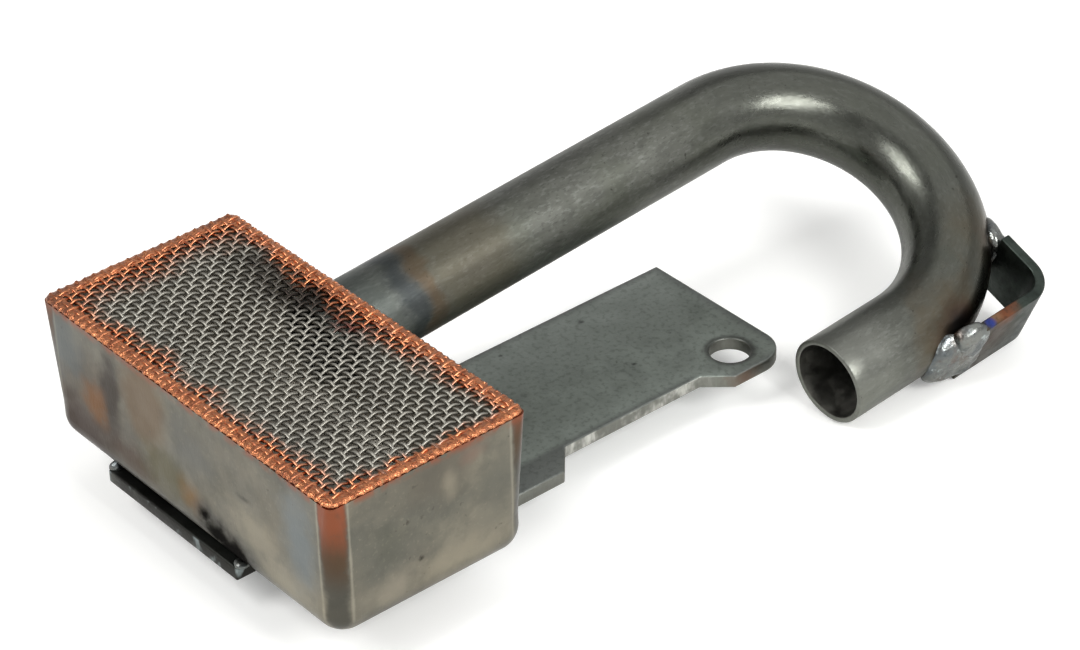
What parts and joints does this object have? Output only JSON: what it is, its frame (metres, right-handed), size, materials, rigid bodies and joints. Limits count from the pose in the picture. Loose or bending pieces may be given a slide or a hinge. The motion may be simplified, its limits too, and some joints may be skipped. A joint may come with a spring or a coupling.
{
  "type": "oil pickup tube",
  "caption": "Welded engine oil pickup: screened sheet-steel strainer box, bent suction tube with plain outlet, bolt-on mounting plate and a strap on the bend.",
  "frame": {"origin": "centre of the bolt hole on the mounting plate's top face", "axes": "+Z along the bolt hole and out of the screen, +Y from the strainer box towards the tube's bend"},
  "size_m": [0.1051, 0.1895, 0.0478],
  "materials": {
    "box_steel": "bare pressed sheet steel with heat tint",
    "screen_wire": "bare steel wire, sooty near the tube",
    "copper_braze": "bright copper braze",
    "tube_steel": "satin drawn steel tube",
    "plate_steel": "mill-dark steel plate",
    "strap_steel": "dark flat bar with heat tint",
    "weld_metal": "bright weld bead"
  },
  "bodies": {
    "root": {"strainer_box": "box_steel", "screen": "screen_wire", "rim_braze": "copper_braze", "pickup_tube": "tube_steel", "mounting_plate": "plate_steel", "strap": "strap_steel", "tube_weld": "weld_metal", "strap_weld_back": "weld_metal", "strap_weld_end": "weld_metal", "plate_tack_left": "weld_metal", "plate_tack_right": "weld_metal"}
  },
  "joints": []
}
